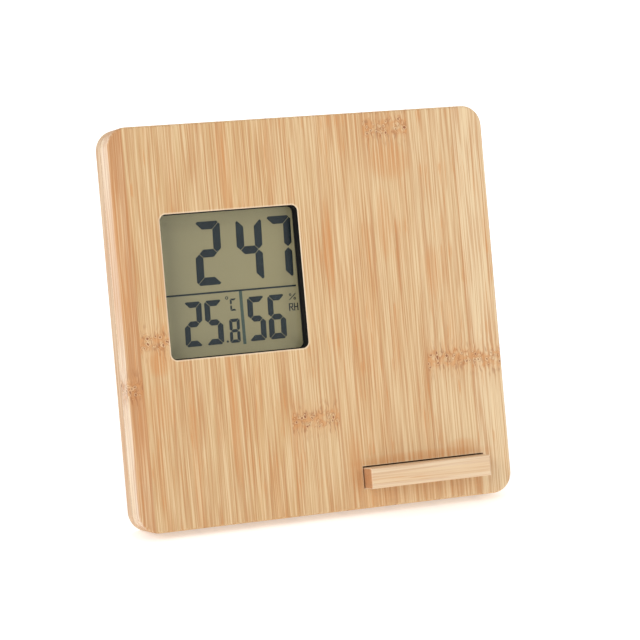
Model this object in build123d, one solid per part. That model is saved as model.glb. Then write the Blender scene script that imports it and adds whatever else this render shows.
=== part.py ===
"""Home weather station: a bamboo panel that leans back on a fold-out leg, with a display
module let into its back and a removable ledge for a phone.

Every piece is drawn on an upright panel: X to the right, Y backwards from the front face,
Z up from the lower edge. The finished assembly is then leaned back and stood on Z = 0.
"""
from build123d import *
import os
from math import cos, radians, sin

# ---- panel: two bamboo boards glued back to back ----
PANEL_SIDE = 150.0
PANEL_CORNER = 7.8
FRONT_BOARD = 9.0
REAR_BOARD = 7.0
PANEL_DEPTH = FRONT_BOARD + REAR_BOARD
EDGE_ROUND = 1.0
REAR_EDGE_ROUND = 0.6
LEAN = 14.3
REST_FLAT = 3.0

# ---- display window ----
DISPLAY_X = -30.3
DISPLAY_Z = 89.9
WINDOW_SIDE = 54.0
WINDOW_CORNER = 2.4
WINDOW_CHAMFER = 0.15
LIP_PROUD = 0.3
LENS_FRONT = 5.6
LENS_SIDE = 54.6
LENS_THICK = 0.8
LENS_POCKET_GAP = 0.2
LAYER_CORNER = 0.4
FILM_SIDE = 54.4
FILM_GAP = 0.2
FILM_THICK = 0.2
GLASS_THICK = 1.1
TERMINAL_EDGE = 3.1
FRAME_WALL = 0.9
FRAME_CORNER = 1.3
FRAME_INNER_CORNER = 0.6
FRAME_POCKET_CORNER = 1.5
FRAME_FRONT = 4.9
FRAME_GAP = 0.2
FLANGE_THICK = 1.2
FLANGE_HALF_WIDTH = 30.4
FLANGE_BELOW = 31.0
FLANGE_ABOVE = 33.6
FLANGE_CORNER = 1.5
SEAT_GAP = 0.1
ZEBRA_HALF_LENGTH = 24.0
ZEBRA_HEIGHT = 2.0
ZEBRA_GAP = 0.6

# ---- circuit board and what is soldered to it ----
PCB_THICK = 1.0
PCB_INSET = 0.3
PCB_CORNER = 1.0
PCB_SCREW_X = 28.95
PCB_SCREW_Z = 22.0
PCB_SCREW_R = 0.8
PCB_SCREW_HEAD_R = 1.7
PCB_SCREW_HEAD = 1.1
PCB_SCREW_ROUND = 0.5
CROSS_HALF_WIDTH = 0.2
CROSS_REACH = 1.1
CROSS_DEPTH = 0.5
SWITCH_SIDE = 4.5
SWITCH_HEIGHT = 1.2
PLUNGER_R = 1.0
PLUNGER_HEIGHT = 0.3
SENSOR_X = -16.0
SENSOR_Z = -20.0
SENSOR_SIDE = 3.0
SENSOR_THICK = 1.0
SENSOR_PORT_R = 0.6
SENSOR_PORT_DEPTH = 0.4
CHIP_R = 6.0
CHIP_THICK = 1.2
CHIP_ROUND = 1.1
CHIP_BELOW = 2.0
CRYSTAL_R = 1.0
CRYSTAL_X = (11.0, 17.0)
CRYSTAL_ABOVE = 7.0
RESISTOR_X = (-12.0, -8.0, -4.0, 0.0, 4.0)
RESISTOR_BELOW = 13.0
CAPACITOR_X = -14.0
CAPACITOR_Z = (-4.0, 0.0, 4.0)
CHIP_PART_LONG = 1.0
CHIP_PART_SHORT = 0.6
RESISTOR_THICK = 0.6
CAPACITOR_THICK = 0.8

# ---- rear housing of the display module ----
HOUSING_HALF_WIDTH = 32.4
HOUSING_LOW = 24.6
HOUSING_HIGH = 130.8
HOUSING_CORNER = 3.0
HOUSING_WALL = 1.5
HOUSING_EDGE_ROUND = 0.4
HOUSING_GAP = 0.3
HOUSING_SCREW_X = 24.0
HOUSING_SCREW_Z = (55.2, 126.6)
HOUSING_SCREW_R = 1.2
HOUSING_HEAD_R = 2.4
HOUSING_SCREW_TIP = 4.0
PILOT_SPARE = 0.2
BOSS_R = 2.5
VENT_COUNT = 5
VENT_PITCH = 3.0
VENT_WIDTH = 1.4
VENT_LENGTH = 12.0
FINGER_R = 7.0
FINGER_DEPTH = 0.7
FINGER_BELOW = 2.5

# ---- buttons ----
BUTTON_X = {"set": -18.0, "down": -6.0, "up": 6.0, "unit": 18.0}
BUTTON_Z = 107.9
BUTTON_R = 3.0
BUTTON_GAP = 0.15
BUTTON_FLANGE_R = 3.8
BUTTON_PROUD = 0.7
BUTTON_TRAVEL = 0.6
BUTTON_REST_GAP = 0.05
BUTTON_ROUND = 0.5
BUTTON_FLANGE_GAP = 0.1
BUTTON_OVERLAP = 0.2

# ---- battery bay for two AAA cells lying side by side ----
CELL_R = 5.25
CELL_LENGTH = 44.5
CELL_NUB_R = 1.9
CELL_NUB = 0.8
CELL_Z = (33.45, 44.55)
CELL_ROUND = 0.5
BAY_HALF_LENGTH = 26.0
BAY_LOW = 28.0
BAY_HIGH = 50.0
BAY_WALL = 1.6
BAY_FRONT = 2.6
BAY_FLOOR = 1.0
BAY_POCKET_GAP = 0.4
BAY_POCKET_SPARE = 0.3
BAY_POCKET_CORNER = 2.0
BAY_OUTER_CORNER = 1.6
BAY_INNER_CORNER = 0.8
DOOR_THICK = 1.4
DOOR_RIM = 1.0
DOOR_GAP = 0.25
DOOR_TAB_X = 14.0
DOOR_TAB_WIDTH = 5.0
DOOR_CORNER = 1.2
DOOR_SEAT_CORNER = 0.5
DOOR_HOOK_FRONT = 12.6
DOOR_HOOK_BACK = 13.7
DOOR_HOOK_DROP = 1.0
DOOR_HOOK_RISE = 1.3
DOOR_HOOK_INSET = 0.15
HOOK_SLOT_FRONT = 11.6
HOOK_SLOT_BACK_GAP = 0.3
HOOK_SLOT_DROP = 1.3
HOOK_SLOT_SIDE_GAP = 0.3
RIDGE_COUNT = 4
RIDGE_PITCH = 1.6
RIDGE_HALF_LENGTH = 8.0
RIDGE_HALF_WIDTH = 0.4
RIDGE_DEPTH = 0.35
RIDGE_INSET = 3.0
CONTACT_THICK = 0.4
CONTACT_BUMP = 0.4
CONTACT_BUMP_R = 1.6
SPRING_WIDTH = 5.0
CONTACT_LOW_Y = 4.4
CONTACT_HIGH_Y = 13.4
CONTACT_HALF_WIDTH = 4.75
LEAD_R = 0.5
PLUS_TAB_Y = 11.95
MINUS_TAB_Y = 13.0
TAB_REACH = 0.4
TAB_HALF_WIDTH = 0.8
TAB_SLOT_HALF_DEPTH = 0.7
TAB_SLOT_HALF_WIDTH = 1.1
LEAD_BEND_R = 2.5
LEAD_TURN_Z = 58.5
LEAD_BOARD_Z = (63.5, 67.5)
LEAD_END_X = {"red": 26.0, "black": 22.5}

# ---- phone ledge: a bamboo bar in a blind slot ----
LEDGE_LEFT = 14.4
LEDGE_LENGTH = 49.0
LEDGE_LOW = 7.75
LEDGE_HEIGHT = 7.75
LEDGE_PROUD = 7.3
LEDGE_ROUND = 0.5
SLOT_GAP_SIDE = 0.5
SLOT_GAP_BELOW = 0.1
SLOT_GAP_ABOVE = 0.6
SLOT_END_GAP = 0.05

# ---- folding leg and its butt hinge ----
LEG_X = 34.0
LEG_TOP_WIDTH = 34.0
LEG_FOOT_WIDTH = 28.0
LEG_THICK = 5.0
LEG_ROUND = 0.8
LEG_HORN_ROUND = 2.5
LEG_OPEN = 24.0
LEG_HORN = 7.0
LEG_REACH = 84.0
LEG_NOTCH_HALF = 10.6
LEG_NOTCH_LOW = 2.6
LEG_STOP_GAP = 0.05
LEG_PAD = 1.2
HINGE_Z = 82.0
HINGE_OFF = 2.3
HINGE_Y = PANEL_DEPTH + HINGE_OFF
KNUCKLE_R = 2.2
PIN_R = 1.0
PIN_FIT = 0.06
PIN_OVERHANG = 0.3
LEAF_THICK = 1.0
LEAF_HALF_WIDTH = 10.0
LEAF_REACH = 12.0
LEAF_CLEAR = 2.5
LEG_LEAF_FRONT = 1.2
MIDDLE_KNUCKLE = 3.9
OUTER_KNUCKLE = 4.0
HINGE_SCREW_X = 6.4
HINGE_SCREW_Z = 7.5
HINGE_SCREW_R = 1.1
HINGE_HEAD_R = 2.0
HINGE_SCREW_LENGTH = 5.6
LEG_SCREW_SHORTER = 0.6
SCREW_FIT = 0.02
WOOD_CROSS_HALF_WIDTH = 0.3
WOOD_CROSS_REACH = 0.6
WOOD_CROSS_DEPTH = 0.5
SCREW_TIP_R = 0.3

# ---- planes worked out from the sizes above, as depths behind the front face ----
LENS_BACK = LENS_FRONT + LENS_THICK
FILM_FRONT = LENS_BACK + FILM_GAP
GLASS_FRONT = FILM_FRONT + FILM_THICK
GLASS_STEP = GLASS_FRONT + GLASS_THICK
GLASS_BACK = GLASS_STEP + GLASS_THICK
FLANGE_FRONT = FRONT_BOARD + SEAT_GAP
PCB_FRONT = FLANGE_FRONT + FLANGE_THICK
PCB_BACK = PCB_FRONT + PCB_THICK
COVER_FRONT = PANEL_DEPTH - HOUSING_WALL
BAY_BACK = COVER_FRONT
CELL_Y = BAY_FRONT + BAY_FLOOR + CELL_R
FRAME_HALF = LENS_SIDE / 2 + LENS_POCKET_GAP + FRAME_WALL
GLASS_TOP = LENS_SIDE / 2 + TERMINAL_EDGE
FRAME_TOP = DISPLAY_Z + GLASS_TOP + LENS_POCKET_GAP + FRAME_WALL
DOOR_HINGE_Y = PANEL_DEPTH - DOOR_THICK / 2
DOOR_HINGE_Z = BAY_LOW - DOOR_RIM + DOOR_GAP + DOOR_THICK / 2


def block(x0, x1, y0, y1, z0, z1):
    """A box between two corners."""
    centre = Pos((x0 + x1) / 2, (y0 + y1) / 2, (z0 + z1) / 2)
    return centre * Box(x1 - x0, y1 - y0, z1 - z0)


def rounded(half_width, z0, z1, radius, y0, y1, centre_x=DISPLAY_X):
    """A rounded plate, seen from the front, from depth y0 to depth y1."""
    face = Plane(origin=(centre_x, y0, (z0 + z1) / 2), x_dir=(1, 0, 0), z_dir=(0, -1, 0))
    return extrude(face * RectangleRounded(2 * half_width, z1 - z0, radius), amount=y0 - y1)


def rod(x, z, radius, y0, y1):
    """A cylinder along the depth of the panel."""
    face = Plane(origin=(x, y0, z), x_dir=(1, 0, 0), z_dir=(0, -1, 0))
    return extrude(face * Circle(radius), amount=y0 - y1)


def rod_x(y, z, radius, x0, x1):
    """A cylinder along the width of the panel."""
    face = Plane(origin=(x0, y, z), x_dir=(0, 1, 0), z_dir=(1, 0, 0))
    return extrude(face * Circle(radius), amount=x1 - x0)


def countersunk(x, z, head_y, tip_y, shank_r, head_r):
    """A countersunk wood screw whose head is flush at head_y and whose shank ends at tip_y."""
    forward = -1.0 if tip_y < head_y else 1.0
    sink = head_r - shank_r
    outline = Polyline(
        (0, 0),
        (head_r, 0),
        (shank_r, sink),
        (shank_r, abs(head_y - tip_y) - shank_r),
        (SCREW_TIP_R, abs(head_y - tip_y)),
        (0, abs(head_y - tip_y)),
        (0, 0),
    )
    axis_plane = Plane(origin=(x, head_y, z), x_dir=(1, 0, 0), z_dir=(0, 0, forward))
    screw = revolve(axis_plane * make_face(outline), Axis((x, head_y, z), (0, 1, 0)), 360)
    near = head_y - WOOD_CROSS_DEPTH
    far = head_y + WOOD_CROSS_DEPTH
    half = WOOD_CROSS_HALF_WIDTH
    reach = head_r * WOOD_CROSS_REACH
    cross = block(x - half, x + half, near, far, z - reach, z + reach)
    cross += block(x - reach, x + reach, near, far, z - half, z + half)
    return screw - cross


def countersink(x, z, head_y, shank_r, head_r, depth_y):
    """The hole for a countersunk screw, with the fit between them."""
    forward = -1.0 if depth_y < head_y else 1.0
    sink = head_r - shank_r
    outline = Polyline(
        (0, 0),
        (head_r + SCREW_FIT, 0),
        (shank_r + SCREW_FIT, sink),
        (shank_r + SCREW_FIT, abs(head_y - depth_y)),
        (0, abs(head_y - depth_y)),
        (0, 0),
    )
    axis_plane = Plane(origin=(x, head_y, z), x_dir=(1, 0, 0), z_dir=(0, 0, forward))
    return revolve(axis_plane * make_face(outline), Axis((x, head_y, z), (0, 1, 0)), 360)


def housing_screw_places():
    """The four places where wood screws hold the module in the panel."""
    return [(DISPLAY_X + side * HOUSING_SCREW_X, z) for side in (-1, 1) for z in HOUSING_SCREW_Z]


def pcb_screw_places():
    """The four places where small screws hold the circuit board to the bezel."""
    return [
        (DISPLAY_X + side * PCB_SCREW_X, DISPLAY_Z + end * PCB_SCREW_Z)
        for side in (-1, 1)
        for end in (-1, 1)
    ]


def hinge_screw_places(above):
    """The two screws of one hinge leaf, above or below the pin."""
    height = HINGE_Z + HINGE_SCREW_Z if above else HINGE_Z - HINGE_SCREW_Z
    return [(LEG_X + side * HINGE_SCREW_X, height) for side in (-1, 1)]


def make_front_board():
    """The front board with its window, the ledge slot and the pockets for the module."""
    half = PANEL_SIDE / 2
    board = rounded(half, 0, PANEL_SIDE, PANEL_CORNER, 0, FRONT_BOARD, 0)
    board = fillet(board.faces().sort_by(Axis.Y)[0].edges(), EDGE_ROUND)
    window_low = DISPLAY_Z - WINDOW_SIDE / 2
    window = rounded(
        WINDOW_SIDE / 2, window_low, window_low + WINDOW_SIDE, WINDOW_CORNER, 0, FRONT_BOARD
    )
    board -= window
    rim = [e for e in board.faces().sort_by(Axis.Y)[0].inner_wires()[0].edges()]
    board = chamfer(rim, WINDOW_CHAMFER)
    board -= rounded(
        FRAME_HALF + FRAME_GAP,
        DISPLAY_Z - FRAME_HALF - FRAME_GAP,
        FRAME_TOP + FRAME_GAP,
        FRAME_POCKET_CORNER,
        FRAME_FRONT - SEAT_GAP,
        FRONT_BOARD,
    )
    board -= rounded(
        BAY_HALF_LENGTH + BAY_WALL + BAY_POCKET_GAP,
        BAY_LOW - BAY_WALL - BAY_POCKET_GAP,
        BAY_HIGH + BAY_WALL + BAY_POCKET_GAP,
        BAY_POCKET_CORNER,
        BAY_FRONT - BAY_POCKET_SPARE,
        FRONT_BOARD,
    )
    board -= block(
        LEDGE_LEFT - SLOT_GAP_SIDE,
        LEDGE_LEFT + LEDGE_LENGTH + SLOT_GAP_SIDE,
        -1,
        FRONT_BOARD,
        LEDGE_LOW - SLOT_GAP_BELOW,
        LEDGE_LOW + LEDGE_HEIGHT + SLOT_GAP_ABOVE,
    )
    for x, z in housing_screw_places():
        board -= rod(x, z, HOUSING_SCREW_R + SCREW_FIT, HOUSING_SCREW_TIP - PILOT_SPARE, FRONT_BOARD)
    return board


def make_rear_board():
    """The rear board: a frame round the module, with pilot holes for the hinge."""
    half = PANEL_SIDE / 2
    board = rounded(half, 0, PANEL_SIDE, PANEL_CORNER, FRONT_BOARD, PANEL_DEPTH, 0)
    board = fillet(board.faces().sort_by(Axis.Y)[-1].edges(), REAR_EDGE_ROUND)
    board -= rounded(
        HOUSING_HALF_WIDTH + HOUSING_GAP,
        HOUSING_LOW - HOUSING_GAP,
        HOUSING_HIGH + HOUSING_GAP,
        HOUSING_CORNER + HOUSING_GAP,
        FRONT_BOARD,
        PANEL_DEPTH,
    )
    tip = PANEL_DEPTH + LEAF_THICK - HINGE_SCREW_LENGTH - PILOT_SPARE
    for x, z in hinge_screw_places(above=True):
        board -= rod(x, z, HINGE_SCREW_R + SCREW_FIT, tip, PANEL_DEPTH)
    return board


def make_display_bezel():
    """Black frame behind the window: a lip, a pocket for the glass, and a flange."""
    low = DISPLAY_Z - FRAME_HALF
    bezel = rounded(FRAME_HALF, low, FRAME_TOP, FRAME_CORNER, FRAME_FRONT, FLANGE_FRONT + SEAT_GAP)
    bezel += rounded(
        FLANGE_HALF_WIDTH,
        DISPLAY_Z - FLANGE_BELOW,
        DISPLAY_Z + FLANGE_ABOVE,
        FLANGE_CORNER,
        FLANGE_FRONT,
        PCB_FRONT,
    )
    inner = WINDOW_SIDE / 2 - LIP_PROUD
    bezel -= rounded(
        inner, DISPLAY_Z - inner, DISPLAY_Z + inner, WINDOW_CORNER - LIP_PROUD, 0, LENS_FRONT
    )
    bezel -= rounded(
        FRAME_HALF - FRAME_WALL,
        low + FRAME_WALL,
        FRAME_TOP - FRAME_WALL,
        FRAME_INNER_CORNER,
        LENS_FRONT,
        PCB_FRONT,
    )
    for x, z in pcb_screw_places():
        bezel -= rod(x, z, PCB_SCREW_R + SCREW_FIT, FLANGE_FRONT, PCB_FRONT)
    return bezel


def display_layer(side, y0, y1, top=None):
    """One square layer of the display, optionally taller at its upper edge."""
    half = side / 2
    upper = DISPLAY_Z + (half if top is None else top)
    return rounded(half, DISPLAY_Z - half, upper, LAYER_CORNER, y0, y1)


def make_lcd_glass():
    """Two glass plates; the front one stands past the other to carry the terminals."""
    glass = display_layer(LENS_SIDE, GLASS_FRONT, GLASS_STEP, GLASS_TOP)
    glass += display_layer(LENS_SIDE, GLASS_STEP, GLASS_BACK)
    return glass


def make_zebra_strip():
    """Rubber connector pressed between the glass's terminals and the circuit board."""
    low = DISPLAY_Z + LENS_SIDE / 2 + ZEBRA_GAP
    left = DISPLAY_X - ZEBRA_HALF_LENGTH
    right = DISPLAY_X + ZEBRA_HALF_LENGTH
    return block(left, right, GLASS_STEP, PCB_FRONT, low, low + ZEBRA_HEIGHT)


def make_circuit_board():
    """The circuit board, behind the bezel's flange."""
    board = rounded(
        FLANGE_HALF_WIDTH - PCB_INSET,
        DISPLAY_Z - FLANGE_BELOW + PCB_INSET,
        DISPLAY_Z + FLANGE_ABOVE - PCB_INSET,
        PCB_CORNER,
        PCB_FRONT,
        PCB_BACK,
    )
    for x, z in pcb_screw_places():
        board -= rod(x, z, PCB_SCREW_R + SCREW_FIT, PCB_FRONT, PCB_BACK)
    return board


def make_board_screws():
    """Four pan-head screws that hold the circuit board."""
    screws = []
    for x, z in pcb_screw_places():
        screw = rod(x, z, PCB_SCREW_R, FLANGE_FRONT + SEAT_GAP, PCB_BACK)
        head = rod(x, z, PCB_SCREW_HEAD_R, PCB_BACK, PCB_BACK + PCB_SCREW_HEAD)
        head = fillet(head.edges().sort_by(Axis.Y)[-1], PCB_SCREW_ROUND)
        back = PCB_BACK + PCB_SCREW_HEAD
        floor = back - CROSS_DEPTH
        half = CROSS_HALF_WIDTH
        slot = block(x - CROSS_REACH, x + CROSS_REACH, floor, back, z - half, z + half)
        slot += block(x - half, x + half, floor, back, z - CROSS_REACH, z + CROSS_REACH)
        screws.append(screw + head - slot)
    return Compound(screws)


def make_controller_chip():
    """The controller under its low round cap of black resin."""
    cap = rod(DISPLAY_X, DISPLAY_Z - CHIP_BELOW, CHIP_R, PCB_BACK, PCB_BACK + CHIP_THICK)
    return fillet(cap.edges().sort_by(Axis.Y)[-1], CHIP_ROUND)


def make_clock_crystal():
    """The small metal can of the clock crystal, lying on the board."""
    left, right = (DISPLAY_X + offset for offset in CRYSTAL_X)
    return rod_x(PCB_BACK + CRYSTAL_R, DISPLAY_Z + CRYSTAL_ABOVE, CRYSTAL_R, left, right)


def make_humidity_sensor():
    """The temperature and humidity sensor, with its sensing port."""
    x = DISPLAY_X + SENSOR_X
    z = DISPLAY_Z + SENSOR_Z
    half = SENSOR_SIDE / 2
    back = PCB_BACK + SENSOR_THICK
    body = block(x - half, x + half, PCB_BACK, back, z - half, z + half)
    return body - rod(x, z, SENSOR_PORT_R, back - SENSOR_PORT_DEPTH, back)


def chip_part(x, z, half_width, half_height, thick):
    """One small chip part on the board."""
    return block(
        x - half_width, x + half_width, PCB_BACK, PCB_BACK + thick, z - half_height, z + half_height
    )


def make_passive_parts():
    """Chip resistors and capacitors beside the controller."""
    parts = [
        chip_part(
            DISPLAY_X + x, DISPLAY_Z - RESISTOR_BELOW, CHIP_PART_LONG, CHIP_PART_SHORT, RESISTOR_THICK
        )
        for x in RESISTOR_X
    ]
    parts += [
        chip_part(
            DISPLAY_X + CAPACITOR_X, DISPLAY_Z + z, CHIP_PART_SHORT, CHIP_PART_LONG, CAPACITOR_THICK
        )
        for z in CAPACITOR_Z
    ]
    return Compound(parts)


def make_tact_switches():
    """Four low switches under the buttons."""
    switches = []
    half = SWITCH_SIDE / 2
    top = PCB_BACK + SWITCH_HEIGHT
    for offset in BUTTON_X.values():
        x = DISPLAY_X + offset
        body = block(x - half, x + half, PCB_BACK, top, BUTTON_Z - half, BUTTON_Z + half)
        switches.append(body + rod(x, BUTTON_Z, PLUNGER_R, top, top + PLUNGER_HEIGHT))
    return Compound(switches)


def make_module_housing():
    """The rear housing: a cover plate, a skirt, the battery trough and screw bosses."""
    housing = rounded(
        HOUSING_HALF_WIDTH, HOUSING_LOW, HOUSING_HIGH, HOUSING_CORNER, FLANGE_FRONT, PANEL_DEPTH
    )
    housing = fillet(housing.faces().sort_by(Axis.Y)[-1].edges(), HOUSING_EDGE_ROUND)
    housing -= rounded(
        HOUSING_HALF_WIDTH - HOUSING_WALL,
        HOUSING_LOW + HOUSING_WALL,
        HOUSING_HIGH - HOUSING_WALL,
        HOUSING_CORNER - HOUSING_WALL,
        0,
        COVER_FRONT,
    )
    housing += rounded(
        BAY_HALF_LENGTH + BAY_WALL,
        BAY_LOW - BAY_WALL,
        BAY_HIGH + BAY_WALL,
        BAY_OUTER_CORNER,
        BAY_FRONT,
        BAY_BACK,
    )
    for x, z in housing_screw_places():
        housing += rod(x, z, BOSS_R, FLANGE_FRONT, COVER_FRONT)
    housing -= rounded(
        BAY_HALF_LENGTH, BAY_LOW, BAY_HIGH, BAY_INNER_CORNER, BAY_FRONT + BAY_FLOOR, PANEL_DEPTH
    )
    housing -= rounded(
        BAY_HALF_LENGTH + DOOR_RIM,
        BAY_LOW - DOOR_RIM,
        BAY_HIGH + DOOR_RIM,
        DOOR_SEAT_CORNER,
        BAY_BACK,
        PANEL_DEPTH,
    )
    for x, z in housing_screw_places():
        housing -= countersink(x, z, PANEL_DEPTH, HOUSING_SCREW_R, HOUSING_HEAD_R, FLANGE_FRONT - 1)
    for offset in BUTTON_X.values():
        housing -= rod(DISPLAY_X + offset, BUTTON_Z, BUTTON_R + BUTTON_GAP, COVER_FRONT, PANEL_DEPTH)
    vent_z = DISPLAY_Z + SENSOR_Z
    for index in range(VENT_COUNT):
        x = DISPLAY_X + SENSOR_X + (index - (VENT_COUNT - 1) / 2) * VENT_PITCH
        housing -= rounded(
            VENT_WIDTH / 2,
            vent_z - VENT_LENGTH / 2,
            vent_z + VENT_LENGTH / 2,
            VENT_WIDTH / 2 - 0.01,
            COVER_FRONT,
            PANEL_DEPTH,
            x,
        )
    finger_z = BAY_HIGH + DOOR_RIM - FINGER_BELOW
    housing -= rod(DISPLAY_X, finger_z, FINGER_R, PANEL_DEPTH - FINGER_DEPTH, PANEL_DEPTH)
    for side in (-1, 1):
        x = DISPLAY_X + side * DOOR_TAB_X
        reach = DOOR_TAB_WIDTH / 2 + HOOK_SLOT_SIDE_GAP
        housing -= block(
            x - reach,
            x + reach,
            HOOK_SLOT_FRONT,
            BAY_BACK - HOOK_SLOT_BACK_GAP,
            BAY_LOW - HOOK_SLOT_DROP,
            BAY_LOW,
        )
    end = DISPLAY_X + BAY_HALF_LENGTH
    deep = TAB_SLOT_HALF_DEPTH
    wide = TAB_SLOT_HALF_WIDTH
    for z, y in ((CELL_Z[0], PLUS_TAB_Y), (CELL_Z[1], MINUS_TAB_Y)):
        housing -= block(end, end + BAY_WALL, y - deep, y + deep, z - wide, z + wide)
    return housing


def make_housing_screws():
    """Four countersunk wood screws through the housing into the front board."""
    screws = [
        countersunk(x, z, PANEL_DEPTH, HOUSING_SCREW_TIP, HOUSING_SCREW_R, HOUSING_HEAD_R)
        for x, z in housing_screw_places()
    ]
    return Compound(screws)


def make_button(name):
    """A round button with a flange that keeps it inside the cover."""
    x = DISPLAY_X + BUTTON_X[name]
    inner = PCB_BACK + SWITCH_HEIGHT + PLUNGER_HEIGHT + BUTTON_TRAVEL + BUTTON_REST_GAP
    flange_back = COVER_FRONT - BUTTON_FLANGE_GAP
    cap_front = flange_back - BUTTON_OVERLAP
    cap = rod(x, BUTTON_Z, BUTTON_R, cap_front, PANEL_DEPTH + BUTTON_PROUD)
    cap = fillet(cap.edges().sort_by(Axis.Y)[-1], BUTTON_ROUND)
    return cap + rod(x, BUTTON_Z, BUTTON_FLANGE_R, inner, flange_back)


def make_battery_door():
    """The battery cover: a round lower edge that it tilts about, two hooks, finger ridges."""
    half = BAY_HALF_LENGTH + DOOR_RIM - DOOR_GAP
    high = BAY_HIGH + DOOR_RIM - DOOR_GAP
    front = PANEL_DEPTH - DOOR_THICK
    door = rounded(half, DOOR_HINGE_Z, high, DOOR_CORNER, front, PANEL_DEPTH)
    door += block(
        DISPLAY_X - half, DISPLAY_X + half, front, PANEL_DEPTH, DOOR_HINGE_Z, DOOR_HINGE_Z + DOOR_CORNER
    )
    door += rod_x(DOOR_HINGE_Y, DOOR_HINGE_Z, DOOR_THICK / 2, DISPLAY_X - half, DISPLAY_X + half)
    for index in range(RIDGE_COUNT):
        z = high - RIDGE_INSET - RIDGE_PITCH * index
        door -= block(
            DISPLAY_X - RIDGE_HALF_LENGTH,
            DISPLAY_X + RIDGE_HALF_LENGTH,
            PANEL_DEPTH - RIDGE_DEPTH,
            PANEL_DEPTH,
            z - RIDGE_HALF_WIDTH,
            z + RIDGE_HALF_WIDTH,
        )
    top = BAY_LOW + DOOR_HOOK_RISE
    for side in (-1, 1):
        x = DISPLAY_X + side * DOOR_TAB_X
        left = x - DOOR_TAB_WIDTH / 2
        right = x + DOOR_TAB_WIDTH / 2
        door += block(left, right, DOOR_HOOK_FRONT, front, BAY_LOW + DOOR_HOOK_INSET, top)
        door += block(left, right, DOOR_HOOK_FRONT, DOOR_HOOK_BACK, BAY_LOW - DOOR_HOOK_DROP, top)
    return door


def make_cell(z, plus_side):
    """One AAA cell; plus_side is 1 when its nub points to +X."""
    inner = BAY_HALF_LENGTH - CONTACT_THICK - CONTACT_BUMP
    nub_end = DISPLAY_X + plus_side * inner
    shoulder = nub_end - plus_side * CELL_NUB
    far_end = nub_end - plus_side * CELL_LENGTH
    body = rod_x(CELL_Y, z, CELL_R, min(shoulder, far_end), max(shoulder, far_end))
    body = fillet(body.edges().filter_by(GeomType.CIRCLE), CELL_ROUND)
    return body + rod_x(CELL_Y, z, CELL_NUB_R, min(shoulder, nub_end), max(shoulder, nub_end))


def contact_plate(side, z0, z1):
    """A flat contact plate against one end wall of the bay; side is 1 at the +X end."""
    outer = DISPLAY_X + side * BAY_HALF_LENGTH
    inner = outer - side * CONTACT_THICK
    return block(min(outer, inner), max(outer, inner), CONTACT_LOW_Y, CONTACT_HIGH_Y, z0, z1)


def contact_bump(side, z):
    """The raised spot that touches a cell's nub."""
    plate = DISPLAY_X + side * (BAY_HALF_LENGTH - CONTACT_THICK)
    tip = plate - side * CONTACT_BUMP
    return rod_x(CELL_Y, z, CONTACT_BUMP_R, min(plate, tip), max(plate, tip))


def contact_spring(side, z):
    """The bent leaf that presses on a cell's flat end."""
    plate = DISPLAY_X + side * (BAY_HALF_LENGTH - CONTACT_THICK)
    far_end = BAY_HALF_LENGTH - CONTACT_THICK - CONTACT_BUMP - CELL_LENGTH
    reach = abs(DISPLAY_X - side * far_end - plate)
    leaf = [
        (0, CONTACT_LOW_Y),
        (reach, CELL_Y - 0.5),
        (reach, CELL_Y + 0.5),
        (1.2, CONTACT_HIGH_Y),
        (0.9, CONTACT_HIGH_Y - 0.4),
        (reach - 0.5, CELL_Y + 0.3),
        (reach - 0.5, CELL_Y - 0.3),
        (0, CONTACT_LOW_Y + 0.7),
    ]
    corners = [(plate - side * along, y) for along, y in leaf]
    face = Plane.XY.offset(z - SPRING_WIDTH / 2) * make_face(Polyline(*corners, corners[0]))
    return extrude(face, amount=SPRING_WIDTH)


def contact_tab(z, depth):
    """The solder tab that leaves the bay through its end wall."""
    end = DISPLAY_X + BAY_HALF_LENGTH
    half = CONTACT_THICK
    outer = end + BAY_WALL + TAB_REACH
    wide = TAB_HALF_WIDTH
    return block(end - half, outer, depth - half, depth + half, z - wide, z + wide)


def make_battery_link_contact():
    """The shared contact that joins the two cells at the far end of the bay."""
    plate = contact_plate(-1, CELL_Z[0] - CONTACT_HALF_WIDTH, CELL_Z[1] + CONTACT_HALF_WIDTH)
    return plate + contact_spring(-1, CELL_Z[0]) + contact_bump(-1, CELL_Z[1])


def make_battery_plus_contact():
    """The positive contact, at the nub of the lower cell."""
    z = CELL_Z[0]
    plate = contact_plate(1, z - CONTACT_HALF_WIDTH, z + CONTACT_HALF_WIDTH)
    return plate + contact_bump(1, z) + contact_tab(z, PLUS_TAB_Y)


def make_battery_minus_contact():
    """The negative contact, a leaf spring at the flat end of the upper cell."""
    z = CELL_Z[1]
    plate = contact_plate(1, z - CONTACT_HALF_WIDTH, z + CONTACT_HALF_WIDTH)
    return plate + contact_spring(1, z) + contact_tab(z, MINUS_TAB_Y)


def make_lead(z_start, depth, x_end):
    """An insulated wire from a contact tab, up beside the trough, to the circuit board."""
    x = DISPLAY_X + BAY_HALF_LENGTH + BAY_WALL + TAB_REACH + LEAD_R
    seat = PCB_BACK + LEAD_R
    path = FilletPolyline(
        (x, depth, z_start),
        (x, depth, LEAD_TURN_Z),
        (DISPLAY_X + x_end, seat, LEAD_BOARD_Z[0]),
        (DISPLAY_X + x_end, seat, LEAD_BOARD_Z[1]),
        radius=LEAD_BEND_R,
    )
    section = Plane(origin=(x, depth, z_start), z_dir=(0, 0, 1)) * Circle(LEAD_R)
    return sweep(section, path=path)


def make_phone_ledge():
    """The bamboo bar that holds a phone, pushed into its slot."""
    bar = block(
        LEDGE_LEFT,
        LEDGE_LEFT + LEDGE_LENGTH,
        -LEDGE_PROUD,
        FRONT_BOARD - SLOT_END_GAP,
        LEDGE_LOW,
        LEDGE_LOW + LEDGE_HEIGHT,
    )
    return fillet(bar.faces().sort_by(Axis.Y)[0].edges(), LEDGE_ROUND)


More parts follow.
